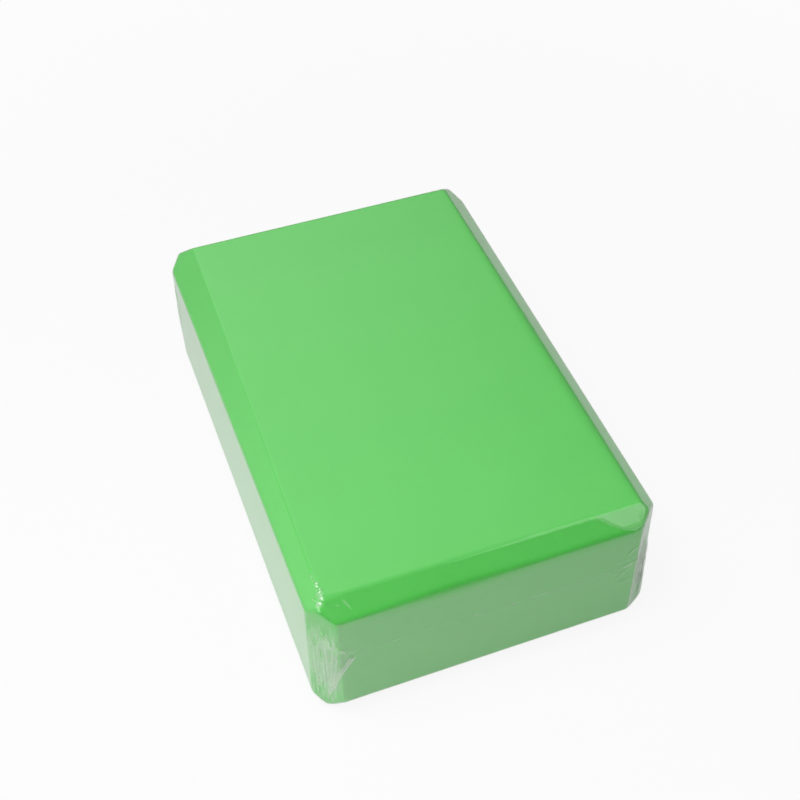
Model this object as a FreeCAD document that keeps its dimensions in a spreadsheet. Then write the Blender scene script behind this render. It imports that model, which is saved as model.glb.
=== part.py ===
import FreeCAD, Part
import math
import os

import Sketcher
from FreeCAD import Placement, Rotation, Vector

# A foam yoga block in its clear shrink film. It lies flat, as it is sold: the length runs along Y,
# the width along X, and the origin is at the middle of the underside.
doc = FreeCAD.newDocument("yoga_block")

# Driving dimensions in millimetres, apart from the number of pleats.
SIZES = [
    ("block_length", 230),
    ("block_width", 150),
    ("block_height", 75),
    ("long_bevel", 9),  # on the four edges along the length
    ("end_bevel", 8),  # on the four edges along the width
    ("upright_bevel", 10),  # on the four standing edges
    ("film_gauge", 0.03),
    ("seam_lift", 6.5),  # seam above the middle of the foam's height
    ("bead_width", 0.8),  # weld bead, measured up the wall
    ("bead_rise", 0.4),  # weld bead, measured out from the film
    ("ear_foot", 12),  # lower end of a gathered corner above the underside
    ("ear_margin", 1),  # film left bare on each side of an ear
    ("ear_root", 0.15),  # bunched film between two pleats
    ("pleat_rise", 0.9),
    ("tip_width", 3),
    ("pleats", 5),
]
sheet = doc.addObject("Spreadsheet::Sheet", "sizes")
for row, (alias, value) in enumerate(SIZES, start=1):
    sheet.set(f"A{row}", alias)
    sheet.set(f"B{row}", str(value))
    sheet.setAlias(f"B{row}", alias)
doc.recompute()

FOAM_MIDDLE = "sizes.film_gauge + sizes.block_height / 2"
SEAM_HEIGHT = f"{FOAM_MIDDLE} + sizes.seam_lift"


def bevelled_prism(name, role, across, up, bevel, depth):
    """A rectangle with four corners cut at 45 degrees, padded to both sides of an origin plane."""
    body = doc.addObject("PartDesign::Body", name)
    sketch = body.newObject("Sketcher::SketchObject", name + "_outline")
    plane = next(f for f in body.Origin.OriginFeatures if f.Role == role)
    sketch.AttachmentSupport = [(plane, "")]
    sketch.MapMode = "FlatFace"
    reach, inset = 100, 80
    corners = [
        Vector(x, y)
        for x, y in (
            (-inset, -reach), (inset, -reach), (reach, -inset), (reach, inset),
            (inset, reach), (-inset, reach), (-reach, inset), (-reach, -inset),
        )
    ]
    sides = len(corners)
    for i, start in enumerate(corners):
        sketch.addGeometry(Part.LineSegment(start, corners[(i + 1) % sides]))
    for i in range(sides):
        sketch.addConstraint(Sketcher.Constraint("Coincident", i, 2, (i + 1) % sides, 1))
    lower, right, upper, left = 0, 2, 4, 6
    x_axis, y_axis = -1, -2
    for line, axis in ((lower, y_axis), (upper, y_axis), (right, x_axis), (left, x_axis)):
        sketch.addConstraint(Sketcher.Constraint("Symmetric", line, 1, line, 2, axis))
    for line, opposite in ((lower, upper), (right, left)):
        sketch.addConstraint(Sketcher.Constraint("Symmetric", line, 1, opposite, 1, x_axis, 1))
    for label, kind, first, second, size in (
        ("across", "DistanceX", (left, 2), (right, 1), across),
        ("up", "DistanceY", (lower, 1), (upper, 2), up),
        ("bevel_across", "DistanceX", (lower, 2), (right, 1), bevel),
        ("bevel_up", "DistanceY", (lower, 2), (right, 1), bevel),
    ):
        start = reach if "bevel" not in label else reach - inset
        index = sketch.addConstraint(Sketcher.Constraint(kind, *first, *second, start))
        sketch.renameConstraint(index, label)
        sketch.setExpression(f"Constraints.{label}", size)
    pad = body.newObject("PartDesign::Pad", name + "_pad")
    pad.Profile = sketch
    pad.SideType = "Symmetric"
    pad.setExpression("Length", depth)
    return body


def bevel_moved(size, grow):
    """A 45 degree bevel on a box that has every face, bevels too, moved out by grow."""
    return f"{size} + (2 - sqrt(2)) * ({grow})"


def bevelled_block(name, grow):
    """The foam's outline moved out by grow: what three bevelled prisms, one along each axis, share."""
    length, width, height = (
        f"sizes.block_{side} + 2 * ({grow})" for side in ("length", "width", "height")
    )
    upright, long_edge, end_edge = (
        bevel_moved(f"sizes.{edge}_bevel", grow) for edge in ("upright", "long", "end")
    )
    block = doc.addObject("Part::MultiCommon", name)
    block.Shapes = [
        bevelled_prism(name + "_plan", "XY_Plane", width, length, upright, height),
        bevelled_prism(name + "_end_view", "XZ_Plane", width, height, long_edge, length),
        bevelled_prism(name + "_side_view", "YZ_Plane", length, height, end_edge, width),
    ]
    block.setExpression(".Placement.Base.z", FOAM_MIDDLE)
    return block


def region(name, x, y, z, length, width, height):
    """A box that picks out one stretch of the film or of the weld."""
    box = doc.addObject("Part::Box", name)
    for prop, size in (
        ("Length", length), ("Width", width), ("Height", height),
        (".Placement.Base.x", x), (".Placement.Base.y", y), (".Placement.Base.z", z),
    ):
        box.setExpression(prop, size)
    return box


def boolean(kind, name, base, tool):
    result = doc.addObject(kind, name)
    result.Base = base
    result.Tool = tool
    return result


# The foam: one brick, cut from sheet and bevelled on every edge.
foam = bevelled_block("foam_block", "0")

# The film is shrunk tight on the foam, so its inside is the foam's own surface.
# Its two webs meet at the seam.
envelope = bevelled_block("film_envelope", "sizes.film_gauge")
film = boolean("Part::Cut", "film", envelope, foam)
above_seam = region(
    "above_seam", "-sizes.block_width", "-sizes.block_length", SEAM_HEIGHT,
    "2 * sizes.block_width", "2 * sizes.block_length", "sizes.block_height",
)
upper_film = boolean("Part::Common", "upper_film", film, above_seam)
lower_film = boolean("Part::Cut", "lower_film", film, above_seam)

# The trim seal: a low bead that laps both webs on the two ends and the right long side.
# The webs are one folded sheet on the left, with no bead there.
BEAD_OUT = "sizes.film_gauge + sizes.bead_rise"
band = bevelled_prism(
    "bead_band", "XY_Plane",
    f"sizes.block_width + 2 * ({BEAD_OUT})",
    f"sizes.block_length + 2 * ({BEAD_OUT})",
    bevel_moved("sizes.upright_bevel", BEAD_OUT),
    "sizes.bead_width",
)
band.setExpression(".Placement.Base.z", SEAM_HEIGHT)
bead = boolean("Part::Cut", "bead", band, envelope)
END_REACH = "(sizes.block_length - sizes.upright_bevel) / 2"
SIDE_REACH = "(sizes.block_width - sizes.upright_bevel) / 2"
WELDS = {
    "front_weld": ("-sizes.block_width", f"-{END_REACH} - sizes.block_length", "2 * sizes.block_width",
                   "sizes.block_length"),
    "rear_weld": ("-sizes.block_width", END_REACH, "2 * sizes.block_width", "sizes.block_length"),
    "side_weld": (SIDE_REACH, f"-{END_REACH}", "sizes.block_width", f"2 * {END_REACH}"),
}
welds = []
for name, (x, y, length, width) in WELDS.items():
    stretch = region(name + "_stretch", x, y, "0", length, width, "2 * sizes.block_height")
    welds.append(boolean("Part::Common", name, bead, stretch))
doc.recompute()

# The ears: film gathered into pleats at the ends of the weld and shrunk flat on each upright bevel.
# An ear narrows evenly to its tip, below the weld.
size = {alias: float(sheet.get(alias)) for alias, _ in SIZES}
seam_height = size["film_gauge"] + size["block_height"] / 2 + size["seam_lift"]
ear_top = seam_height - size["bead_width"] / 2
ear_width = size["upright_bevel"] * math.sqrt(2) - 2 * size["ear_margin"]


def pleated_section(height, scale):
    """The outline of an ear at one height: straight on the film, zigzag on the outside."""
    folds = 2 * int(size["pleats"])
    points = [Vector(-ear_width / 2, 0), Vector(ear_width / 2, 0)]
    for fold in range(folds + 1):
        out = size["pleat_rise"] if fold % 2 else size["ear_root"]
        points.append(Vector(ear_width * (0.5 - fold / folds), out))
    points = [Vector(p.x * scale, p.y * scale, height) for p in points]
    return Part.makePolygon(points + points[:1])


ear_shape = Part.makeLoft(
    [pleated_section(size["ear_foot"], size["tip_width"] / ear_width), pleated_section(ear_top, 1)],
    True,
    True,
)
CORNERS = {
    "front_left_ear": (-1, -1),
    "front_right_ear": (1, -1),
    "rear_left_ear": (-1, 1),
    "rear_right_ear": (1, 1),
}
bevel_out = size["film_gauge"] / math.sqrt(2) - size["upright_bevel"] / 2
ears = []
for name, (x_side, y_side) in CORNERS.items():
    ear = doc.addObject("Part::Feature", name)
    ear.Shape = ear_shape
    ear.Placement = Placement(
        Vector(
            x_side * (size["block_width"] / 2 + bevel_out),
            y_side * (size["block_length"] / 2 + bevel_out),
            0,
        ),
        Rotation(Vector(0, 0, 1), math.degrees(math.atan2(-x_side, y_side))),
    )
    ears.append(ear)
doc.recompute()

# Every object has to have built, and every piece has to be one valid solid, before anything is written.
pieces = [foam, upper_film, lower_film] + welds + ears
for obj in doc.Objects:
    if {"Invalid", "Error"} & set(obj.State):
        raise RuntimeError(f"{obj.Label} did not build: {obj.State}")
for piece in pieces:
    if piece.Shape.isNull() or not piece.Shape.isValid() or len(piece.Shape.Solids) != 1:
        raise RuntimeError(f"{piece.Label} is not one valid solid")

os.makedirs("parts", exist_ok=True)
for piece in pieces:
    piece.Shape.exportStep(f"parts/{piece.Label}.step")
    box = piece.Shape.BoundBox
    print(f"{piece.Label}: {piece.Shape.Volume:.2f} mm3, z {box.ZMin:.2f} to {box.ZMax:.2f}")
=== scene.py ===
import math

import bmesh
import bpy
import numpy as np
from mathutils import Matrix, Vector, noise


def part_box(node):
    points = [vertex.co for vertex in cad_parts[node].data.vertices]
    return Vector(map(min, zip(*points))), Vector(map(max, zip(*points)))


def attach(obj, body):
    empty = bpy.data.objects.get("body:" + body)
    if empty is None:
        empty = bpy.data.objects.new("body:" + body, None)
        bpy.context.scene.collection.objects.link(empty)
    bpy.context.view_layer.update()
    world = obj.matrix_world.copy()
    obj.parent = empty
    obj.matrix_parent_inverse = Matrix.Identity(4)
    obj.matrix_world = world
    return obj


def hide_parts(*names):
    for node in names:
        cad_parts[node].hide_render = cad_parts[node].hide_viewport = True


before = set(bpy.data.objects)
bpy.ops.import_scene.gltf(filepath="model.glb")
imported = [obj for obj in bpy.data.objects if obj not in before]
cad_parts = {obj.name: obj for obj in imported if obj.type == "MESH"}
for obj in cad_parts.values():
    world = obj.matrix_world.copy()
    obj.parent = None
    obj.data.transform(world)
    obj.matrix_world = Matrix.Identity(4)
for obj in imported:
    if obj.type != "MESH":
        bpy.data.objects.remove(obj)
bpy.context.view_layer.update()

# Foam brick: closed-cell EVA foam, sawn from a thick sheet and bevelled on all twelve edges by hand
# against a guide, so that each bevel widens or narrows a little along its edge. Only the film holds it.
MM = 0.001
foam_low, foam_high = (np.array(corner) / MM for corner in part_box("foam_block"))
foam_middle = (foam_low + foam_high) / 2
foam_half = (foam_high - foam_low) / 2
SIDES = {
    "left": np.array((-1, 0, 0)),
    "right": np.array((1, 0, 0)),
    "front": np.array((0, -1, 0)),
    "rear": np.array((0, 1, 0)),
    "bottom": np.array((0, 0, -1)),
    "top": np.array((0, 0, 1)),
}
# How far each bevel is set back from its edge, in millimetres, at the edge's two ends:
# front and rear, left and right, or bottom and top.
BEVELS = {
    ("left", "top"): (6.3, 11.8),
    ("right", "top"): (8.3, 10.2),
    ("left", "bottom"): (7.8, 8.6),
    ("right", "bottom"): (9.0, 9.0),
    ("front", "top"): (8.1, 7.5),
    ("rear", "top"): (8.4, 9.3),
    ("front", "bottom"): (9.3, 11.2),
    ("rear", "bottom"): (8.0, 8.0),
    ("front", "left"): (11.0, 9.2),
    ("front", "right"): (11.0, 10.6),
    ("rear", "left"): (9.2, 6.6),
    ("rear", "right"): (10.0, 10.0),
}


def bevel_flat(edge, setbacks):
    """The outward normal of the flat that takes off an edge, and how far out the flat lies."""
    one, other = (SIDES[side] for side in edge)
    along = np.abs(np.cross(one, other))
    corners = [foam_middle + foam_half * (one + other + end * along) for end in (-1, 1)]
    near, far = (corner - other * setback for corner, setback in zip(corners, setbacks))
    across = corners[0] - one * setbacks[0] - near
    normal = np.cross(far - near, across)
    normal *= np.sign(normal @ (one + other)) / np.linalg.norm(normal)
    return normal, normal @ near


flats = [(normal, normal @ (foam_middle + foam_half * normal)) for normal in SIDES.values()]
flats += [bevel_flat(edge, setbacks) for edge, setbacks in BEVELS.items()]
flat_normals = np.array([normal for normal, _ in flats])
flat_reaches = np.array([reach for _, reach in flats])

# The walls end where bevels of the nominal size start. Edges near there, up to about this reach, are
# as soft as asked for, and all others are crisper: they have this share of the softness.
EDGE_BEVEL = 9.0
wall_top = foam_high[2] - EDGE_BEVEL
wall_foot = foam_low[2] + EDGE_BEVEL
SOFT_REACH = 3.5
CRISP = 0.45
# Edges that are rubbed rounder for a stretch: the middle of the stretch, its reach along each axis
# and how much softer it is, the film as much as the foam, in millimetres. Two are on the rim below
# the front bevel, one is on the right top edge.
RUBBED = [
    ((-14.0, foam_low[1], wall_top), (32.0, 6.0, 4.0), 0.75),
    ((50.0, foam_low[1], wall_top), (24.0, 5.0, 4.0), 0.4),
    ((foam_high[0] - EDGE_BEVEL, -30.0, foam_high[2]), (5.0, 110.0, 4.0), 0.7),
]
SETTLE_STEPS = 12


def settle(points, grow, softness):
    """Moves points straight on to the brick, with every flat moved out by grow and its edges softened,
    most where the bevels meet the walls. Gives the points and the way out at each."""
    rims = np.clip(points[:, 2:], wall_foot, None)
    nearest = np.minimum(np.abs(rims - wall_top), np.abs(rims - wall_foot))
    softness = softness * (CRISP + (1 - CRISP) * np.exp(-((nearest / SOFT_REACH) ** 2)))
    for middle, reach, softer in RUBBED:
        away = (((points - middle) / reach) ** 2).sum(axis=1, keepdims=True)
        softness = softness + softer * np.exp(-away)
    for _ in range(SETTLE_STEPS):
        depths = points @ flat_normals.T - flat_reaches - grow
        deepest = depths.max(axis=1, keepdims=True)
        shares = np.exp((depths - deepest) / softness)
        total = shares.sum(axis=1, keepdims=True)
        outward = shares @ flat_normals / total
        level = deepest + softness * np.log(total)
        points = points - outward * level / (outward ** 2).sum(axis=1, keepdims=True)
    return points, outward / np.linalg.norm(outward, axis=1, keepdims=True)


# The plan of the walls as a ring that starts at the middle of the front left bevel and runs past the
# front, the right side and the rear. A place on the wall is a run along this ring and a height; past
# the walls the height goes on over the bevels and the flats, by what is gained in height and inwards.
UPRIGHT_BEVEL = 10.0
half_width, half_length, _ = foam_half
cut_x, cut_y = half_width - UPRIGHT_BEVEL, half_length - UPRIGHT_BEVEL
ring_start = (-half_width + UPRIGHT_BEVEL / 2, -half_length + UPRIGHT_BEVEL / 2)
ring = np.array(
    [
        ring_start,
        (-cut_x, -half_length), (cut_x, -half_length), (half_width, -cut_y), (half_width, cut_y),
        (cut_x, half_length), (-cut_x, half_length), (-half_width, cut_y), (-half_width, -cut_y),
        ring_start,
    ]
)
ring_steps = np.diff(ring, axis=0)
ring_lengths = np.linalg.norm(ring_steps, axis=1)
ring_runs = np.concatenate([[0], np.cumsum(ring_lengths)])
ring_round = ring_runs[-1]
side_outward = np.stack([ring_steps[:, 1], -ring_steps[:, 0]], axis=1) / ring_lengths[:, None]
before, after = np.vstack([side_outward[-1:], side_outward]), np.vstack([side_outward, side_outward[:1]])
ring_outward = (before + after) / (1 + (before * after).sum(axis=1, keepdims=True))
CORNERS = {
    "front_left": 0.0,
    "front_right": (ring_runs[2] + ring_runs[3]) / 2,
    "rear_right": (ring_runs[4] + ring_runs[5]) / 2,
    "rear_left": (ring_runs[6] + ring_runs[7]) / 2,
}


def wall_points(runs, ups):
    """Points on the brick's plain outline, before they settle, from their places on the wall."""
    over = np.maximum(ups - wall_top, 0)
    under = np.maximum(wall_foot - ups, 0)
    insets = np.maximum(over / 2, over - EDGE_BEVEL) + np.maximum(under / 2, under - EDGE_BEVEL)
    heights = np.clip(ups, wall_foot, wall_top)
    heights = heights + np.minimum(over / 2, EDGE_BEVEL) - np.minimum(under / 2, EDGE_BEVEL)
    runs = runs % ring_round
    sides = np.clip(np.searchsorted(ring_runs, runs, side="right") - 1, 0, len(ring_steps) - 1)
    shares = ((runs - ring_runs[sides]) / ring_lengths[sides])[:, None]
    starts = ring[sides] - ring_outward[sides] * insets[:, None]
    ends = ring[sides + 1] - ring_outward[sides + 1] * insets[:, None]
    return np.column_stack([starts + (ends - starts) * shares, heights])


CORNER_REACH = 16.0  # the finest columns lie this far to each side of a corner
COLUMN_GROWTH = 0.2  # and further off they widen by this share of the way


def ring_columns(finest, coarsest):
    """Runs at which the mesh has a column: close together round the corners, and alike on the left
    and on the right."""
    front_middle = CORNERS["front_right"] / 2
    rear_middle = (CORNERS["rear_right"] + CORNERS["rear_left"]) / 2
    runs = [front_middle]
    while runs[-1] < rear_middle:
        off = min(abs(runs[-1] - CORNERS[corner]) for corner in ("front_right", "rear_right"))
        runs.append(runs[-1] + min(finest + COLUMN_GROWTH * max(off - CORNER_REACH, 0), coarsest))
    right = front_middle + (np.array(runs) - front_middle) * (rear_middle - front_middle) / (
        runs[-1] - front_middle
    )
    return np.concatenate([right, (2 * front_middle - right[1:-1])[::-1] % ring_round])


# Where a corner is left fuller than its flats: the middle of the swelling from the corner's upright
# bevel and from the floor, how far it reaches along, up and down, and its rise.
SWELLINGS = {
    "front_left": (-1.0, 5.0, 7.0, 7.0, 7.0, 0.7),
    "front_right": (3.5, 11.0, 6.0, 22.0, 5.0, 2.2),
    "rear_right": (0.5, 8.0, 6.0, 9.0, 9.0, 0.5),
    "rear_left": (-0.5, 7.0, 6.0, 8.0, 8.0, 0.5),
}


def from_corner(places, corner):
    """Places on the wall measured from the middle of a corner's upright bevel."""
    runs = (places[:, 0] - CORNERS[corner] + ring_round / 2) % ring_round - ring_round / 2
    return np.column_stack([runs, places[:, 1]])


def swelling(places):
    """How far the brick stands out beyond its flats at each place."""
    swollen = np.zeros(len(places))
    for corner, (run, up, reach_along, reach_up, reach_down, rise) in SWELLINGS.items():
        along, above = (from_corner(places, corner) - (run, up)).T
        away = (along / reach_along) ** 2 + (above / np.where(above > 0, reach_up, reach_down)) ** 2
        swollen += rise * np.exp(-away)
    return swollen


# Rows of points run on past the bevels to this far in on the flats. From there a few more close
# each flat, the first of them close together.
FLAT_INSET = 5.0
rows_start = wall_foot - 2 * EDGE_BEVEL - FLAT_INSET
rows_end = wall_top + 2 * EDGE_BEVEL + FLAT_INSET
SPINE_ROWS = 9
SPINE_EASE = 1.3


def brick_mesh(columns, heights, grow, softness):
    """A closed grid over the brick: rings of points up the walls and over the bevels, which draw in
    over the flats to a line along their middle. Gives points, ways out, places and faces."""
    runs, ups = (grid.ravel() for grid in np.meshgrid(columns, heights))
    outline = wall_points(runs, ups)
    top, foot = outline[-len(columns):], outline[:len(columns)]
    spine = np.zeros_like(top)
    spine[:, 1] = np.clip(top[:, 1], -(half_length - half_width), half_length - half_width)
    closing = 1 - (1 - np.arange(1, SPINE_ROWS + 1) / SPINE_ROWS) ** SPINE_EASE
    upper = [top + (spine - top) * (share, share, 0) for share in closing]
    lower = [foot + (spine - foot) * (share, share, 0) for share in closing[::-1]]
    outline = np.vstack([*lower, outline, *upper])
    rows = len(heights) + 2 * SPINE_ROWS
    ups = np.concatenate([
        np.full(SPINE_ROWS * len(columns), heights[0]), ups, np.full(SPINE_ROWS * len(columns), heights[-1])
    ])
    points, outward = settle(outline, grow, softness)
    places = np.column_stack([np.tile(columns, rows), ups])
    points = points + outward * swelling(places)[:, None]
    first = np.arange(rows - 1)[:, None] * len(columns) + np.arange(len(columns))
    second = np.arange(rows - 1)[:, None] * len(columns) + (np.arange(len(columns)) + 1) % len(columns)
    faces = np.stack([first, second, second + len(columns), first + len(columns)], axis=-1).reshape(-1, 4)
    return points, outward, places, faces


def add_piece(name, points, faces, material):
    """Shows a mesh, given in millimetres, under a name: shaded smooth and in one material."""
    mesh = bpy.data.meshes.new(name)
    mesh.from_pydata((np.asarray(points) * MM).tolist(), [], np.asarray(faces).tolist())
    mesh.materials.append(material)
    mesh.shade_smooth()
    piece = bpy.data.objects.new(name, mesh)
    bpy.context.scene.collection.objects.link(piece)
    return piece


MEETING = 0.01 * MM


def close_mesh(piece):
    """Joins the points that meet where a grid is drawn together, and leaves cut borders crisp."""
    grid = bmesh.new()
    grid.from_mesh(piece.data)
    bmesh.ops.remove_doubles(grid, verts=grid.verts, dist=MEETING)
    for edge in grid.edges:
        edge.smooth = not edge.is_boundary
    grid.to_mesh(piece.data)
    grid.free()


def hex_colour(text):
    """An sRGB hex colour as linear red, green, blue and alpha."""
    parts = [int(text[i:i + 2], 16) / 255 for i in (1, 3, 5)]
    return [p / 12.92 if p <= 0.04045 else ((p + 0.055) / 1.055) ** 2.4 for p in parts] + [1.0]


def add_node(tree, kind, inputs=None, **settings):
    """Adds a node with its settings. An input is a value, or another node's output to link to."""
    node = tree.nodes.new(kind)
    for name, value in settings.items():
        setattr(node, name, value)
    for name, value in (inputs or {}).items():
        if isinstance(value, bpy.types.NodeSocket):
            tree.links.new(value, node.inputs[name])
        else:
            node.inputs[name].default_value = value
    return node


def empty_material(name):
    """A material with no nodes yet, and its tree."""
    material = bpy.data.materials.new(name)
    material.use_nodes = True
    material.node_tree.nodes.clear()
    return material, material.node_tree


def worked_out(tree, operation, *values):
    """The result of a sum on values, or on other nodes' outputs."""
    return add_node(tree, "ShaderNodeMath", dict(enumerate(values)), operation=operation).outputs[0]


# Closed-cell EVA foam with a sawn and sanded skin: matt, one bright green right through, with the
# faint cloudiness of uneven blowing and a fine grain of cut cells.
FOAM_GREEN = hex_colour("#49C947")
FOAM_PALER = hex_colour("#52CD4F")
CELL_SIZE = 0.9 * MM  # real cells are about 0.3 mm, drawn coarser so that they show
CLOUD_SIZE = 45 * MM
eva_foam, tree = empty_material("closed_cell_EVA_foam")
place = add_node(tree, "ShaderNodeTexCoord").outputs["Object"]
clouds = add_node(
    tree, "ShaderNodeTexNoise", {"Vector": place, "Scale": 1 / CLOUD_SIZE, "Detail": 3.0, "Roughness": 0.55}
)
cells = add_node(tree, "ShaderNodeTexVoronoi", {"Vector": place, "Scale": 1 / CELL_SIZE}, feature="F1")
tone = add_node(
    tree, "ShaderNodeMix", {0: clouds.outputs[0], 6: FOAM_GREEN, 7: FOAM_PALER}, data_type="RGBA"
)
speck = add_node(
    tree,
    "ShaderNodeMapRange",
    {"Value": cells.outputs["Distance"], "From Max": 0.9, "To Min": 0.965, "To Max": 1.02},
)
grained = add_node(
    tree,
    "ShaderNodeMix",
    {0: 1.0, 6: tone.outputs[2], 7: speck.outputs[0]},
    data_type="RGBA",
    blend_type="MULTIPLY",
)
grain = add_node(
    tree, "ShaderNodeBump", {"Height": cells.outputs["Distance"], "Strength": 0.25, "Distance": 0.1 * MM}
)
foam_skin = add_node(
    tree,
    "ShaderNodeBsdfPrincipled",
    {
        "Base Color": grained.outputs[2],
        "Roughness": 0.85,
        "Specular IOR Level": 0.3,
        "Normal": grain.outputs[0],
    },
)
add_node(tree, "ShaderNodeOutputMaterial", {"Surface": foam_skin.outputs[0]})

# The skin has shallow hollows and smaller dimples in them. Its rows are closest over the top bevels.
FOAM_SOFTNESS = 0.33
FOAM_UNEVEN = 0.10
HOLLOW_WIDTH, DIMPLE_WIDTH = 30.0, 9.0
foam_heights = np.concatenate([
    np.arange(rows_start, wall_foot + 4, 1.0),
    np.linspace(wall_foot + 4, wall_top - 4, 20),
    np.arange(wall_top - 3, rows_end, 0.5),
])
points, outward, _, faces = brick_mesh(ring_columns(0.7, 8.0), foam_heights, 0, FOAM_SOFTNESS)
hollows = np.array([
    0.5 + 0.5 * noise.noise(Vector(point) / HOLLOW_WIDTH) + 0.2 * noise.noise(Vector(point) / DIMPLE_WIDTH)
    for point in points
])
points = points - outward * FOAM_UNEVEN * np.clip(hollows, 0, None)[:, None]
foam = add_piece("foam_brick", points, faces, eva_foam)
close_mesh(foam)
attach(foam, "root")
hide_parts("foam_block")

# Film: one clear polyolefin sheet, folded round the brick along the left side, welded and trimmed on
# the other three, and shrunk tight in hot air. It lies flat on the flats and wrinkles where the
# corners leave it too much: gathers on the upright bevels, fans beside the ends of the weld.
FILM_GAP = 0.15
FILM_SOFTNESS = 0.46
FILM_GAUGE = 0.02 * MM
# Haze is how milky the film looks apart from its creases, with painted light in it: in streaks on each
# upright bevel, round a middle and out to a reach on the wall, partly painted reflections of the gathered
# folds, and evenly on the two ends, from their left to their right, a painted reflection of the bright
# floor in front.
GATHER_HAZE_AND_REFLECTIONS = {"front_left": 0.84, "front_right": 0.2, "rear_right": 0.35, "rear_left": 0.35}
GATHER_MIDDLE, GATHER_REACH = (0, 32), (7, 30)
STREAK_WIDTH, STREAK_LENGTH, STREAK_CONTRAST = 0.9, 9.0, 1.6
# On the two ends, at their left and their right: a painted reflection of the bright floor in front.
END_HAZE_AND_REFLECTION = (0.36, 0.18)
END_FACING, END_TURN = 0.85, 0.15
seam_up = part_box("upper_film")[0].z / MM
# The waves of the seam: how far each swings, its length over a full turn, and where it starts.
SEAM_WAVES = [(0.7, 19.0, 0.0), (0.5, 7.3, 1.0), (0.25, 3.1, 0.0)]


def seam_wander(runs):
    """How far the seam lies above or below its level: the trim wire doesn't run dead straight."""
    return sum(swing * np.sin(runs / length + start) for swing, length, start in SEAM_WAVES)


def crease_heights(places, creases):
    """Height of the film over the flat: the highest of its creases, each a ridge with sloping sides.
    A crease is its two ends on the wall, its rise and how far its sides reach."""
    heights = np.zeros(len(places))
    for start_run, start_up, end_run, end_up, rise, reach in creases:
        start = np.array([start_run, start_up])
        step = np.array([end_run - start_run, end_up - start_up])
        along = np.clip((places - start) @ step / (step @ step), 0, 1)
        away = np.linalg.norm(places - start - along[:, None] * step, axis=1)
        taper = np.sqrt(np.maximum(4 * along * (1 - along), 0))
        heights = np.maximum(heights, rise * taper - rise / reach * away)
    return heights


GATHER_HALF = 6.6  # half the width of an upright bevel, less its borders


def gathers(seed, mirror, top, tip, count):
    """Creases that run down an upright bevel: upright on one border, drawn together to a tip elsewhere."""
    rng = np.random.default_rng(seed)
    creases = []
    for spread in np.linspace(-1, 1, count):
        upper_run = GATHER_HALF * spread + rng.uniform(-0.5, 0.5)
        upper = (upper_run, top + rng.uniform(-7, 4) - 4 * max(spread, 0))
        drawn = np.clip(1.6 + 1.6 * spread, 0, 1)
        lower_run = upper[0] + (tip[0] + 1.5 * spread - upper[0]) * drawn + rng.uniform(-0.5, 0.5)
        lower = (lower_run, tip[1] + rng.uniform(0, 9))
        rise, reach = rng.uniform(0.25, 0.65), rng.uniform(0.5, 0.8)
        creases.append((mirror * upper[0], upper[1], mirror * lower[0], lower[1], rise, reach))
    return creases


def streaks(seed, runs, tops, feet, count):
    """Creases side by side straight down an upright bevel, each with its own top and foot."""
    rng = np.random.default_rng(seed)
    creases = []
    for run in np.linspace(*runs, count) + rng.uniform(-0.4, 0.4, count):
        start, end = (run, rng.uniform(*tops)), (run + rng.uniform(-0.7, 0.7), rng.uniform(*feet))
        creases.append((*start, *end, rng.uniform(0.3, 0.7), rng.uniform(0.45, 0.7)))
    return creases


def fan(seed, mirror, centre, angles, near, far, rise, count):
    """Creases that spread from a point at the end of the weld, straight out over the wall."""
    rng = np.random.default_rng(seed)
    creases = []
    for angle in np.radians(np.linspace(*angles, count) + rng.uniform(-4, 4, count)):
        first, last = rng.uniform(*near), rng.uniform(*far)
        ray = np.array([mirror * math.cos(angle), math.sin(angle)])
        start, end = np.array(centre) + first * ray, np.array(centre) + last * ray
        creases.append((*start, *end, rise * rng.uniform(0.6, 1.0), rng.uniform(0.5, 0.8)))
    return creases


def crinkles(seed, runs, ups, rise, count):
    """Short creases that cross an edge side by side, each at its own slant."""
    rng = np.random.default_rng(seed)
    creases = []
    for run in np.linspace(*runs, count):
        start = (run + rng.uniform(-0.5, 0.5), ups[0] + rng.uniform(-1, 1))
        end = (run + rng.uniform(-1.8, 1.8), ups[1] + rng.uniform(-1, 1))
        creases.append((*start, *end, rise * rng.uniform(0.5, 1.0), rng.uniform(0.5, 0.7)))
    return creases


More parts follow.
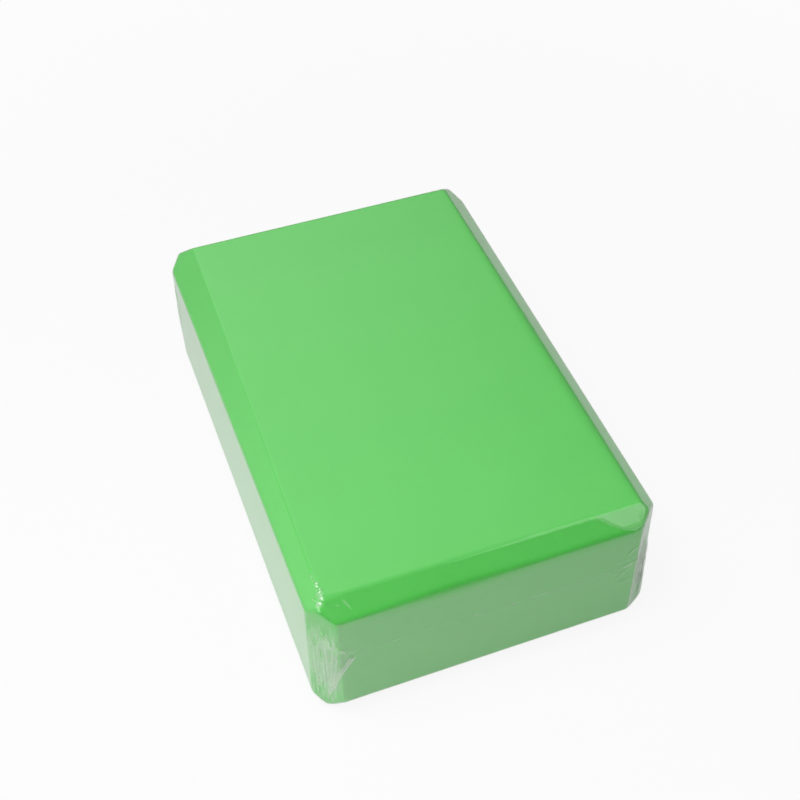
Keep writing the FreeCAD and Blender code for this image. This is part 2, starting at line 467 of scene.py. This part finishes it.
# Creases of each corner, in millimetres from the middle of its bevel, positive to the right as seen
# from outside, and from the floor up.
CREASES = {
    "front_left": [
        *gathers(3, 1, 60, (1.4, 13), 12),
        *streaks(4, (-6.6, 1.0), (44, 60), (14, 26), 9),
        *streaks(7, (-5.6, 3.0), (32, 44), (16, 24), 7),
        *fan(5, -1, (6.6, 46.5), (36, 84), (0.3, 1.5), (8, 15), 0.55, 8),
        *fan(6, 1, (7.6, 46.0), (-15, 60), (0.5, 2.0), (3, 8), 0.3, 6),
        (5.0, 48.6, 10.6, 46.4, 0.5, 0.9),
        (6.9, 51.0, 10.4, 42.8, 0.45, 0.6),
        (4.2, 51.0, 7.9, 45.1, 0.35, 0.5),
        (9.8, 55.8, 12.4, 54.4, 0.2, 0.5),
        (1.7, 75.6, 3.8, 75.8, 0.2, 0.5),
        (2.8, 73.4, 4.1, 73.8, 0.2, 0.5),
    ],
    "front_right": [
        *gathers(13, -1, 54, (1.0, 16), 8),
        *fan(15, -1, (-5.0, 47.5), (-40, 40), (1.0, 5.0), (8, 16), 0.25, 8),
        (-13.0, 52.0, -8.2, 57.5, 0.35, 0.8),
        (-19.0, 43.2, -4.0, 47.6, 0.35, 0.9),
        (-16.2, 34.5, -9.2, 34.5, 0.22, 1.0),
        *fan(16, 1, (6.0, 46.5), (-35, 45), (0.5, 4.0), (7, 14), 0.28, 7),
        (-7.5, 72.0, -2.5, 77.5, 0.12, 0.5),
        (-5.5, 71.6, -0.5, 76.5, 0.12, 0.5),
    ],
    "rear_right": [
        *gathers(23, 1, 59, (1.2, 13), 12),
        *streaks(24, (-6.0, 3.0), (42, 60), (14, 26), 8),
        *fan(25, -1, (-6.8, 46.0), (-35, 45), (0.5, 3.0), (7, 15), 0.30, 8),
        *fan(26, 1, (7.0, 46.5), (-30, 50), (0.5, 2.0), (6, 14), 0.28, 8),
    ],
    "rear_left": [
        *gathers(33, -1, 58, (1.2, 14), 12),
        *streaks(34, (-3.0, 6.0), (42, 60), (14, 26), 8),
        *fan(35, -1, (-7.0, 46.0), (-40, 45), (0.5, 3.0), (6, 13), 0.28, 8),
        *fan(36, 1, (6.8, 45.5), (-30, 45), (0.5, 2.0), (5, 11), 0.22, 6),
    ],
}
# Crinkles on the top edges beside a corner, measured like the creases. They show as white flecks, which are
# whitened film and painted glints of the key lamp.
CRINKLES = {
    "front_left": [
        (-14.8, 80.4, -12.7, 80.8, 0.25, 0.5),
        (-12.2, 80.2, -11.3, 81.0, 0.25, 0.5),
        (-10.2, 80.3, -9.3, 82.2, 0.5, 0.6),
        (-8.9, 79.9, -8.1, 81.6, 0.45, 0.6),
        (-6.6, 79.5, -5.8, 82.1, 0.6, 0.6),
        (-4.9, 78.6, -4.4, 80.6, 0.4, 0.6),
        (-3.9, 77.3, -3.6, 79.8, 0.6, 0.6),
        (-2.8, 76.9, -1.9, 78.4, 0.5, 0.6),
        (-1.9, 77.3, -1.4, 75.7, 0.4, 0.5),
        (-1.7, 75.5, -1.4, 73.4, 0.45, 0.6),
        (-6.6, 75.6, -2.3, 74.8, 0.35, 0.5),
        (8.2, 80.2, 12.6, 73.0, 0.25, 0.5),
        (4.3, 76.6, 8.2, 76.8, 0.2, 0.5),
    ],
    "rear_right": crinkles(28, (-2.0, 14.0), (78.0, 83.0), 0.3, 10),
}
# How much the crinkles whiten the film, painted glints included.
CRINKLE_WHITE_AND_GLINTS = 2.2
# On the front bevel's right end the film bridges from the top edge to a curved crest and then drops
# back: the crest's places across the block and up, its height off the bevel and the run of the drop.
CREST = [(47.0, 74.4), (52.0, 71.5), (56.5, 69.3), (61.5, 68.4), (64.5, 69.2), (67.0, 71.4), (70.0, 74.6)]
CREST_RISE = 0.65
CREST_DROP = 0.6
CREST_ROOM = 4.0  # from this far below the top edge the crest has its full height
LEAST_ROOM = 0.01
BRIDGE_DEPTH = 15.0  # the bridge lies this close to the front
# Where it bridges, the film is paler: partly the haze of loose film, partly a painted reflection.
BRIDGE_HAZE_AND_REFLECTION = 0.3
BRIDGE_LOOSE = 0.1  # film this far off the bevel has all of that haze
FRONT_BEVEL_WAY = (0, -0.707, 0.707)
BEVEL_FACING, BEVEL_TURN = 0.75, 0.2


def bridge_heights(points, outward):
    """Height of the film where it bridges the right end of the front bevel."""
    across, ups = np.array(CREST).T
    edge_up = foam_high[2] + FILM_GAP
    crest = np.interp(points[:, 0], across, ups, left=edge_up, right=edge_up)
    room = np.maximum(edge_up - crest, LEAST_ROOM)
    share = np.clip((edge_up - points[:, 2]) / room, 0, None)
    below = np.clip((crest - points[:, 2]) / CREST_DROP, 0, 1)
    facing = np.clip((outward @ FRONT_BEVEL_WAY - BEVEL_FACING) / BEVEL_TURN, 0, 1)
    return CREST_RISE * np.clip(room / CREST_ROOM, 0, 1) * np.where(share <= 1, share, 1 - below) * facing


# Clear polyolefin shrink film: glossy, almost invisible face on, mirror-like at a flat angle.
# Both of its faces reflect, which doubles the gloss, and creased film turns a little milky. The milk's
# green tint and part of its brightness are painted light: the green foam's light seen through it, and light
# that crumpled film catches from above. Where it has stuck to the film below it, it has no gloss of its
# own.
FILM_IOR = 1.5
FILM_ROUGHNESS = 0.05
# Milk colour with painted light in it: a green tint and extra brightness.
FILM_MILK_AND_FOAM_LIGHT = hex_colour("#E6F9E2")
LEAST_MILK, MOST_MILK = 0.008, 0.4
shrink_film, tree = empty_material("clear_polyolefin_film")
fresnel = add_node(tree, "ShaderNodeFresnel", {"IOR": FILM_IOR}).outputs[0]
twice = worked_out(tree, "MULTIPLY", fresnel, 2.0)
both_faces = worked_out(tree, "DIVIDE", twice, worked_out(tree, "ADD", fresnel, 1.0))
from_behind = add_node(tree, "ShaderNodeNewGeometry").outputs["Backfacing"]
seen_face = worked_out(tree, "SUBTRACT", 1.0, from_behind)
loose_share = add_node(tree, "ShaderNodeAttribute", attribute_name="loose").outputs["Fac"]
open_face = worked_out(tree, "MULTIPLY", seen_face, loose_share)
gloss = worked_out(tree, "MULTIPLY", both_faces, open_face)
# How white each point is: milk from creases and haze, with the painted reflections and glints in it.
whiteness_share = add_node(tree, "ShaderNodeAttribute", attribute_name="creased").outputs["Fac"]
milk = add_node(
    tree, "ShaderNodeMapRange", {"Value": whiteness_share, "To Min": LEAST_MILK, "To Max": MOST_MILK}
).outputs[0]
milk_seen = worked_out(tree, "MULTIPLY", milk, open_face)
clear = add_node(tree, "ShaderNodeBsdfTransparent", {"Color": (1, 1, 1, 1)}).outputs[0]
milk_and_foam_light = add_node(tree, "ShaderNodeBsdfDiffuse", {"Color": FILM_MILK_AND_FOAM_LIGHT}).outputs[0]
mirror = add_node(
    tree, "ShaderNodeBsdfGlossy", {"Color": (1, 1, 1, 1), "Roughness": FILM_ROUGHNESS}
).outputs[0]
body = add_node(tree, "ShaderNodeMixShader", {0: milk_seen, 1: clear, 2: milk_and_foam_light}).outputs[0]
sheen = add_node(tree, "ShaderNodeMixShader", {0: gloss, 1: body, 2: mirror}).outputs[0]
add_node(tree, "ShaderNodeOutputMaterial", {"Surface": sheen})

# The film's rows have one at the seam, where the webs meet. Its creases and crinkles all lie within
# a span of their corner, and between them it is slightly slack.
CREASE_SPAN = 30.0
SLACK_WIDTH, SLACK_RISE = 22.0, 0.03
SEAM_PULL = 6.0  # the seam's wander takes the wall with it this far above and below
film_heights = np.concatenate([
    np.arange(rows_start, wall_foot + 3, 0.7),
    np.linspace(wall_foot + 3, seam_up, 52)[:-1],
    np.linspace(seam_up, wall_top - 3, 30)[:-1],
    np.arange(wall_top - 3, rows_end, 0.6),
])
film_columns = ring_columns(0.4, 7.0)
points, outward, places, faces = brick_mesh(film_columns, film_heights, FILM_GAP, FILM_SOFTNESS)
creased, haze_and_painted_light = np.zeros(len(points)), np.zeros(len(points))
for corner in CORNERS:
    local = from_corner(places, corner)
    away = np.abs((local - GATHER_MIDDLE) / GATHER_REACH) ** 4
    haze_and_painted_light += GATHER_HAZE_AND_REFLECTIONS[corner] * np.exp(-away.sum(axis=1))
    close = np.abs(local[:, 0]) < CREASE_SPAN
    creased[close] = np.maximum(creased[close], crease_heights(local[close], CREASES[corner]))
# The streaks are partly painted reflections of the gathered folds.
streaked = [noise.noise(Vector((run / STREAK_WIDTH, up / STREAK_LENGTH, 0))) for run, up in places]
haze_and_painted_light *= np.clip(1 + STREAK_CONTRAST * np.array(streaked), 0, None)
for corner, crinkled in CRINKLES.items():
    local = from_corner(places, corner)
    close = np.abs(local[:, 0]) < CREASE_SPAN
    heights = crease_heights(local[close], crinkled)
    creased[close] = np.maximum(creased[close], heights)
    haze_and_painted_light[close] += CRINKLE_WHITE_AND_GLINTS * heights
lifts = creased.copy()
# Haze on the ends that paints the bright floor's reflection, stronger on the left.
facing_end = np.clip((np.abs(outward[:, 1]) - END_FACING) / END_TURN, 0, 1)
haze_and_painted_light += facing_end * np.interp(points[:, 0], (-half_width, half_width), END_HAZE_AND_REFLECTION)
# The bridge's paleness is partly a painted reflection.
right_end, front = points[:, 0] > CREST[0][0], points[:, 1] < -half_length + BRIDGE_DEPTH
close = right_end & front & (points[:, 2] > wall_top)
bridged = bridge_heights(points[close], outward[close])
lifts[close] += bridged
haze_and_painted_light[close] += BRIDGE_HAZE_AND_REFLECTION * np.clip(bridged / BRIDGE_LOOSE, 0, 1)
slack = np.array([noise.noise(Vector(point) / SLACK_WIDTH) for point in points])
points = points + outward * (lifts + SLACK_RISE * slack)[:, None]
points[:, 2] += np.exp(-(((places[:, 1] - seam_up) / SEAM_PULL) ** 2)) * seam_wander(places[:, 0])


def film_piece(name, points, faces, creased, loose):
    """A piece of film with its gauge, given inwards, and crisp cut edges. Each point of it says how white
    it is, painted reflections and glints included, and how far it is loose from the film below it."""
    piece = add_piece(name, points, faces, shrink_film)
    for label, values in (("creased", np.clip(creased, 0, 1)), ("loose", loose)):
        piece.data.attributes.new(label, "FLOAT", "POINT").data.foreach_set("value", values)
    close_mesh(piece)
    gauge = piece.modifiers.new("gauge", "SOLIDIFY")
    gauge.thickness = FILM_GAUGE
    gauge.offset = -1
    return piece


# A crease of this height is quite white, and lower ones less than in proportion.
WHITE_RISE = 0.5
WHITE_POWER = 1.5
above = places[faces, 1].mean(axis=1) > seam_up
for name, node, chosen in (("upper_web", "upper_film", above), ("lower_web", "lower_film", ~above)):
    used, order = np.unique(faces[chosen], return_inverse=True)
    whitened = haze_and_painted_light[used] + (creased[used] / WHITE_RISE) ** WHITE_POWER
    web = film_piece(name, points[used], order.reshape(-1, 4), whitened, np.ones(len(used)))
    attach(web, "root")
    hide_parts(node)


def on_film(runs, ups, lifts):
    """Points on the film's wall, or lifted off it, from their places; all in millimetres."""
    settled, outward = settle(wall_points(runs, ups), FILM_GAP, FILM_SOFTNESS)
    return settled + outward * (lifts + swelling(np.column_stack([runs, ups])))[:, None]


# Weld: where the hot wire cut the two webs it melted them into one low bead, uneven and broken by
# bubbles, along the front, the right side and the rear. It is the same film, turned whitish.
BEAD_RADIUS = 0.14 * MM
BEAD_UNEVEN = 1.6
BEAD_LUMP = 2.5 * MM
BEAD_STEP = 0.6 * MM
BEAD_MEAN, BEAD_THINNEST = 0.5, 0.15  # its width as shares of the radius
NOISE_MEAN = 0.5
BUBBLE_SIZE = 3 * MM
WELD_WHITE = hex_colour("#DCEBDA")
film_weld, tree = empty_material("melted_polyolefin_bead")
place = add_node(tree, "ShaderNodeTexCoord").outputs["Object"]
bubbles = add_node(tree, "ShaderNodeTexNoise", {"Vector": place, "Scale": 1 / BUBBLE_SIZE, "Detail": 2.0})
cloudy = add_node(
    tree,
    "ShaderNodeMapRange",
    {"Value": bubbles.outputs[0], "From Min": 0.4, "From Max": 0.65, "To Min": 0.0, "To Max": 0.6},
)
clear = add_node(tree, "ShaderNodeBsdfTransparent", {"Color": (1, 1, 1, 1)}).outputs[0]
melt = add_node(
    tree, "ShaderNodeBsdfPrincipled", {"Base Color": WELD_WHITE, "Roughness": 0.3, "IOR": 1.5}
).outputs[0]
bead = add_node(tree, "ShaderNodeMixShader", {0: cloudy.outputs[0], 1: clear, 2: melt}).outputs[0]
add_node(tree, "ShaderNodeOutputMaterial", {"Surface": bead})

bead_tree = bpy.data.node_groups.new("weld_bead", "GeometryNodeTree")
interface = bead_tree.interface
interface.new_socket("Geometry", in_out="INPUT", socket_type="NodeSocketGeometry")
bead_inputs = {
    name: interface.new_socket(name, in_out="INPUT", socket_type=kind)
    for name, kind in (
        ("Radius", "NodeSocketFloat"),
        ("Unevenness", "NodeSocketFloat"),
        ("Lump Length", "NodeSocketFloat"),
        ("Step", "NodeSocketFloat"),
        ("Seed", "NodeSocketFloat"),
        ("Material", "NodeSocketMaterial"),
    )
}
interface.new_socket("Geometry", in_out="OUTPUT", socket_type="NodeSocketGeometry")
given = add_node(bead_tree, "NodeGroupInput").outputs
path = add_node(
    bead_tree,
    "GeometryNodeResampleCurve",
    {"Curve": given["Geometry"], "Length": given["Step"]},
    mode="LENGTH",
)
place = add_node(bead_tree, "GeometryNodeInputPosition").outputs[0]
per_metre = worked_out(bead_tree, "DIVIDE", 1.0, given["Lump Length"])
lumps = add_node(
    bead_tree,
    "ShaderNodeTexNoise",
    {"Vector": place, "W": given["Seed"], "Scale": per_metre, "Detail": 2.0},
    noise_dimensions="4D",
).outputs[0]
swing = worked_out(bead_tree, "SUBTRACT", lumps, NOISE_MEAN)
share = worked_out(bead_tree, "MULTIPLY_ADD", swing, given["Unevenness"], BEAD_MEAN)
width = worked_out(bead_tree, "MAXIMUM", share, BEAD_THINNEST)
profile = add_node(
    bead_tree, "GeometryNodeCurvePrimitiveCircle", {"Resolution": 8, "Radius": given["Radius"]}
).outputs[0]
tube = add_node(
    bead_tree,
    "GeometryNodeCurveToMesh",
    {"Curve": path.outputs[0], "Profile Curve": profile, "Scale": width, "Fill Caps": True},
).outputs[0]
realized = add_node(bead_tree, "GeometryNodeRealizeInstances", {"Geometry": tube}).outputs[0]
finished = add_node(
    bead_tree, "GeometryNodeSetMaterial", {"Geometry": realized, "Material": given["Material"]}
).outputs[0]
add_node(bead_tree, "NodeGroupOutput", {"Geometry": finished})

# Each weld's ends, in millimetres round the ring, and its seed. The front one starts beside the
# gathers, and each keeps clear of the next.
WELD_CLEAR = 1.0
WELD_STEP = 1.0
BEAD_LIFT = 0.05
WELDS = {
    "front": (CORNERS["front_left"] + 7, CORNERS["front_right"], 1.0),
    "side": (CORNERS["front_right"], CORNERS["rear_right"], 2.0),
    "rear": (CORNERS["rear_right"], CORNERS["rear_left"], 3.0),
}
for name, (first, last, seed) in WELDS.items():
    runs = np.arange(first + WELD_CLEAR, last - WELD_CLEAR, WELD_STEP)
    route = on_film(runs, np.full(len(runs), seam_up), np.full(len(runs), BEAD_LIFT)) * MM
    route[:, 2] += seam_wander(runs) * MM
    line = bpy.data.curves.new(name + "_weld_line", "CURVE")
    line.dimensions = "3D"
    spline = line.splines.new("POLY")
    spline.points.add(len(route) - 1)
    spline.points.foreach_set("co", np.column_stack([route, np.ones(len(route))]).ravel())
    carrier = bpy.data.objects.new(name + "_weld_line", line)
    bpy.context.scene.collection.objects.link(carrier)
    bead_maker = carrier.modifiers.new("bead", "NODES")
    bead_maker.node_group = bead_tree
    for label, value in (
        ("Radius", BEAD_RADIUS),
        ("Unevenness", BEAD_UNEVEN),
        ("Lump Length", BEAD_LUMP),
        ("Step", BEAD_STEP),
        ("Seed", seed),
        ("Material", film_weld),
    ):
        bead_maker[bead_inputs[label].identifier] = value
    evaluated = carrier.evaluated_get(bpy.context.evaluated_depsgraph_get())
    mesh = bpy.data.meshes.new_from_object(evaluated)
    bpy.data.objects.remove(carrier)
    mesh.shade_smooth()
    weld = bpy.data.objects.new(name + "_bead", mesh)
    bpy.context.scene.collection.objects.link(weld)
    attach(weld, "root")
    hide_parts(name + "_weld")

# Ears: at each end of the weld a corner of spare film is left over. The hot air folds it down and
# shrinks it on to the upright bevel, as a crumpled flap with a doubled, paler hem on its free edge.
EAR_ROWS = 70
EAR_COLUMNS = 60
EAR_FOLDS = 11
LEAST_WIDTH = 1.0
# The pleats: where across the ear, how slanted and how high. They flatten by a share towards the tip.
FOLD_PLACES, FOLD_LEANS, FOLD_RISES = (0.03, 0.97), (-0.25, 0.25), (0.3, 0.9)
PLEAT_SLOPE, PLEAT_FADE = 0.7, 0.5
CRUMPLES_ALONG, CRUMPLES_UP = 0.9, 0.4  # per millimetre
BORDER_EASE = 4  # pleats and crumples fade out within this fraction of the ear from its borders
FLAP_LIFT, PLEAT_RISE, CRUMPLE_RISE = 0.05, 0.4, 0.2
HEM_WIDTH = 3.2
HEM_RISE, HEM_STEP = 0.25, 0.7
HEM_LINE = 0.3  # a white line this wide lies this far inside both of the hem's borders
FLAP_WHITE, HEM_WHITE, LINE_WHITE, PLEAT_WHITE = 0.03, 0.65, 0.5, 0.5
# How loose the face and the hem are, and how fast that grows from the top, where the ear is stuck.
LOOSE_FACE, LOOSE_HEM, LOOSE_GROWTH = 0.6, 0.4, 12
# For each ear: its seed, which way its hem lies from the bevel's middle, and its left and right
# borders as places on the wall from the top to the tip.
EARS = {
    "front_left": (
        41, 1,
        [(-2.5, 47), (-1.6, 36), (-0.4, 24), (0.9, 13)],
        [(14.0, 42.5), (11.0, 37.5), (7.5, 31.5), (4.6, 21.5), (1.6, 12.6)],
    ),
    "front_right": (
        42, 1,
        [(-6.0, 45), (-5.0, 36), (-3.0, 26), (-0.6, 15)],
        [(9.0, 43), (8.0, 36), (5.5, 27), (3.2, 20), (0.6, 14.5)],
    ),
    "rear_right": (
        43, 1,
        [(-5.5, 45), (-5.0, 35), (-3.5, 24), (0.6, 13)],
        [(12.0, 43), (10.0, 37.5), (7.0, 31.5), (4.2, 21.5), (1.4, 12.6)],
    ),
    "rear_left": (
        44, -1,
        [(-12.5, 43), (-10.5, 37.5), (-7.4, 31.5), (-4.4, 21.5), (-1.4, 12.6)],
        [(5.5, 45), (5.0, 35), (3.5, 24), (-0.6, 13)],
    ),
}


def border(places, downs):
    """The run and the height of a border at each share of the way down it."""
    marks = np.linspace(0, 1, len(places))
    return np.column_stack([np.interp(downs, marks, side) for side in np.array(places).T])


for corner, (seed, hem_side, left_border, right_border) in EARS.items():
    rng = np.random.default_rng(seed)
    fold_places = rng.uniform(*FOLD_PLACES, EAR_FOLDS)
    fold_leans = rng.uniform(*FOLD_LEANS, EAR_FOLDS)
    fold_rises = rng.uniform(*FOLD_RISES, EAR_FOLDS)
    across, down = (
        grid.ravel()
        for grid in np.meshgrid(np.linspace(0, 1, EAR_COLUMNS + 1), np.linspace(0, 1, EAR_ROWS + 1))
    )
    left, right = border(left_border, down), border(right_border, down)
    width = np.maximum(np.linalg.norm(right - left, axis=1), LEAST_WIDTH)
    runs, ups = (left + (right - left) * across[:, None]).T
    from_fold = np.abs(across[:, None] - fold_places - fold_leans * (down[:, None] - 0.5)) * width[:, None]
    fold_heights = fold_rises * (1 - PLEAT_FADE * down[:, None]) - PLEAT_SLOPE * from_fold
    pleats = np.maximum(fold_heights.max(axis=1), 0)
    from_hem = 1 - across if hem_side > 0 else across
    hem_room = width * from_hem
    hem = np.clip((HEM_WIDTH - hem_room) / HEM_STEP, 0, 1)
    hem_lines = sum(
        np.exp(-((hem_room - middle) / HEM_LINE) ** 2) for middle in (HEM_LINE, HEM_WIDTH - HEM_LINE)
    )
    crumple = np.array([
        abs(noise.noise(Vector((run * CRUMPLES_ALONG, up * CRUMPLES_UP, seed))))
        for run, up in zip(runs, ups)
    ])
    inner = np.clip(BORDER_EASE * np.minimum(down, np.minimum(across, 1 - across)), 0, 1)
    loose = np.clip(np.minimum(LOOSE_FACE * (1 - from_hem) + LOOSE_HEM * hem, LOOSE_GROWTH * down), 0, 1)
    ridges = crease_heights(np.column_stack([runs, ups]), CREASES[corner])
    crumpled = inner * (PLEAT_RISE * pleats + CRUMPLE_RISE * crumple)
    lift = FLAP_LIFT + ridges + crumpled + HEM_RISE * hem
    vertices = on_film(runs + CORNERS[corner], ups, lift)
    stride = EAR_COLUMNS + 1
    first = (np.arange(EAR_ROWS)[:, None] * stride + np.arange(EAR_COLUMNS)).ravel()
    faces = np.column_stack([first + stride, first + stride + 1, first + 1, first])
    whitened = FLAP_WHITE + HEM_WHITE * hem + LINE_WHITE * hem_lines + PLEAT_WHITE * pleats ** 2
    flap = film_piece(corner + "_flap", vertices, faces, whitened, loose)
    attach(flap, "root")
    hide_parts(corner + "_ear")

# Stage: a plain white sweep lit softly from the upper left, by a wide box overhead on the right and
# by a low box near the front left, with the darker room behind the camera. Lengths are in metres.
FLOOR_WHITE = hex_colour("#DADADA")
FLOOR_GLOW = 0.9  # near the block, up to full white further off
GLOW_NEAR, GLOW_FAR = 0.25, 0.8
MIRRORED_GLOW = 0.25
LIT_FRONT, LIT_FADE = 0.2, 0.08  # further in front the sweep mirrors as dark as the room
DARKEST, BRIGHTEST = 0.05, 0.7


def ray_kinds(tree):
    """What kind a ray is, and whether it shows a thing plainly: from the camera or through the film."""
    rays = add_node(tree, "ShaderNodeLightPath").outputs
    return rays, worked_out(tree, "MAXIMUM", rays["Is Camera Ray"], rays["Is Transmission Ray"])


floor_paint, tree = empty_material("white_sweep")
rays, plain = ray_kinds(tree)
place = add_node(tree, "ShaderNodeTexCoord").outputs["Object"]
far_off = add_node(tree, "ShaderNodeVectorMath", {0: place}, operation="LENGTH").outputs["Value"]
seen_glow = add_node(
    tree,
    "ShaderNodeMapRange",
    {"Value": far_off, "From Min": GLOW_NEAR, "From Max": GLOW_FAR, "To Min": FLOOR_GLOW, "To Max": 1.0},
).outputs[0]
mirrored = worked_out(tree, "MULTIPLY", rays["Is Glossy Ray"], MIRRORED_GLOW)
glow_share = worked_out(tree, "MULTIPLY_ADD", plain, seen_glow, mirrored)
matt = add_node(tree, "ShaderNodeBsdfDiffuse", {"Color": FLOOR_WHITE}).outputs[0]
glow = add_node(tree, "ShaderNodeEmission", {"Color": (1, 1, 1, 1), "Strength": 1.0}).outputs[0]
lit = add_node(tree, "ShaderNodeMixShader", {0: glow_share, 1: matt, 2: glow}).outputs[0]
ahead = add_node(tree, "ShaderNodeSeparateXYZ", {0: place}).outputs["Y"]
unlit_share = add_node(
    tree, "ShaderNodeMapRange", {"Value": ahead, "From Min": -LIT_FRONT, "From Max": -LIT_FRONT - LIT_FADE}
).outputs[0]
unlit_mirrored = worked_out(tree, "MULTIPLY", unlit_share, rays["Is Glossy Ray"])
dark = add_node(tree, "ShaderNodeEmission", {"Color": (1, 1, 1, 1), "Strength": DARKEST}).outputs[0]
floor_mix = add_node(tree, "ShaderNodeMixShader", {0: unlit_mirrored, 1: lit, 2: dark}).outputs[0]
add_node(tree, "ShaderNodeOutputMaterial", {"Surface": floor_mix})
FLOOR_REACH = 3000  # this one and the next in millimetres
FLOOR_LEVEL = -0.2
sweep = add_piece(
    "sweep",
    [(x * FLOOR_REACH, y * FLOOR_REACH, FLOOR_LEVEL) for x, y in ((-1, -1), (1, -1), (1, 1), (-1, 1))],
    [(0, 1, 2, 3)],
    floor_paint,
)

# The room brightens towards one side, between two cosines from it. It lights things less than it is
# mirrored.
BRIGHT_SIDE = (-0.34, 0.31, 0.89)
DARK_FROM, BRIGHT_FROM = -0.36, 0.75
AMBIENT = 0.6
# Two soft bright places in the room, which show in the gloss: the way to each, where its glow starts
# and where it is full, as cosines from its middle, and the glow.
WINDOWS = {
    "high behind": ((-0.10, 0.65, 0.75), 0.88, 0.985, 0.6),
    "low on the left": ((-0.95, 0.25, 0.15), 0.82, 0.96, 0.6),
}
world = bpy.data.worlds.new("studio")
bpy.context.scene.world = world
world.use_nodes = True
tree = world.node_tree
tree.nodes.clear()
rays, plain = ray_kinds(tree)
direction = add_node(tree, "ShaderNodeTexCoord").outputs["Generated"]


def glow_towards(way, start, full, least, most):
    """A glow in the room that grows from least to most between two cosines from a way."""
    facing = add_node(tree, "ShaderNodeVectorMath", {0: direction, 1: way}, operation="DOT_PRODUCT")
    return add_node(
        tree,
        "ShaderNodeMapRange",
        {
            "Value": facing.outputs["Value"],
            "From Min": start,
            "From Max": full,
            "To Min": least,
            "To Max": most,
        },
    ).outputs[0]


glow = glow_towards(BRIGHT_SIDE, DARK_FROM, BRIGHT_FROM, DARKEST, BRIGHTEST)
shine = 0.0
for way, start, full, brightness in WINDOWS.values():
    shine = worked_out(tree, "ADD", shine, glow_towards(way, start, full, 0.0, brightness))
level = add_node(
    tree, "ShaderNodeMapRange", {"Value": rays["Is Glossy Ray"], "To Min": AMBIENT, "To Max": 1.0}
).outputs[0]
lit = worked_out(tree, "MULTIPLY", glow, level)
strength = worked_out(tree, "MULTIPLY_ADD", shine, rays["Is Glossy Ray"], lit)
room = add_node(tree, "ShaderNodeBackground", {"Color": (1, 1, 1, 1), "Strength": strength}).outputs[0]
white = add_node(tree, "ShaderNodeBackground", {"Color": (1, 1, 1, 1), "Strength": 1.0}).outputs[0]
shown = add_node(tree, "ShaderNodeMixShader", {0: plain, 1: room, 2: white}).outputs[0]
add_node(tree, "ShaderNodeOutputWorld", {"Surface": shown})

# Each lamp's place, what it points at, the size of its soft box, and how bright it is beside white.
LAMPS = {
    "key_box": ((-0.39, -0.15, 1.0), (-0.39, -0.15, 0), (0.54, 0.7), 6.2),
    "overhead_box": ((0.62, -0.65, 1.0), (0.62, -0.65, 0), (0.65, 1.1), 0.85),
    "fill_box": ((-0.45, -0.42, 0.12), (-0.07, -0.11, 0.04), (0.35, 0.35), 2.2),
}
for name, (lamp_place, target, (lamp_width, lamp_depth), brightness) in LAMPS.items():
    light = bpy.data.lights.new(name, "AREA")
    light.shape = "RECTANGLE"
    light.size, light.size_y = lamp_width, lamp_depth
    light.energy = brightness * math.pi * lamp_width * lamp_depth
    lamp = bpy.data.objects.new(name, light)
    lamp.location = lamp_place
    lamp.rotation_euler = (Vector(target) - Vector(lamp_place)).to_track_quat("-Z", "Y").to_euler()
    bpy.context.scene.collection.objects.link(lamp)

# Camera: from the photograph's own vanishing lines, high on the left of the near end.
CAMERA_PLACE = Vector((-0.14198, -0.40347, 0.51641))
CAMERA_AIM = Vector((0.00594, 0.00947, 0.04))
CAMERA_ROLL = math.radians(-0.674)
CAMERA_LENS = 62.88
CAMERA_SENSOR = 36.0
lens = bpy.data.cameras.new("photo_view")
lens.sensor_width = CAMERA_SENSOR
lens.lens = CAMERA_LENS
camera = bpy.data.objects.new("photo_view", lens)
camera.location = CAMERA_PLACE
aim = (CAMERA_AIM - CAMERA_PLACE).to_track_quat("-Z", "Y").to_matrix().to_4x4()
camera.rotation_euler = (aim @ Matrix.Rotation(CAMERA_ROLL, 4, "Z")).to_euler()
bpy.context.scene.collection.objects.link(camera)
bpy.context.scene.camera = camera
bpy.context.scene.view_settings.view_transform = "Standard"
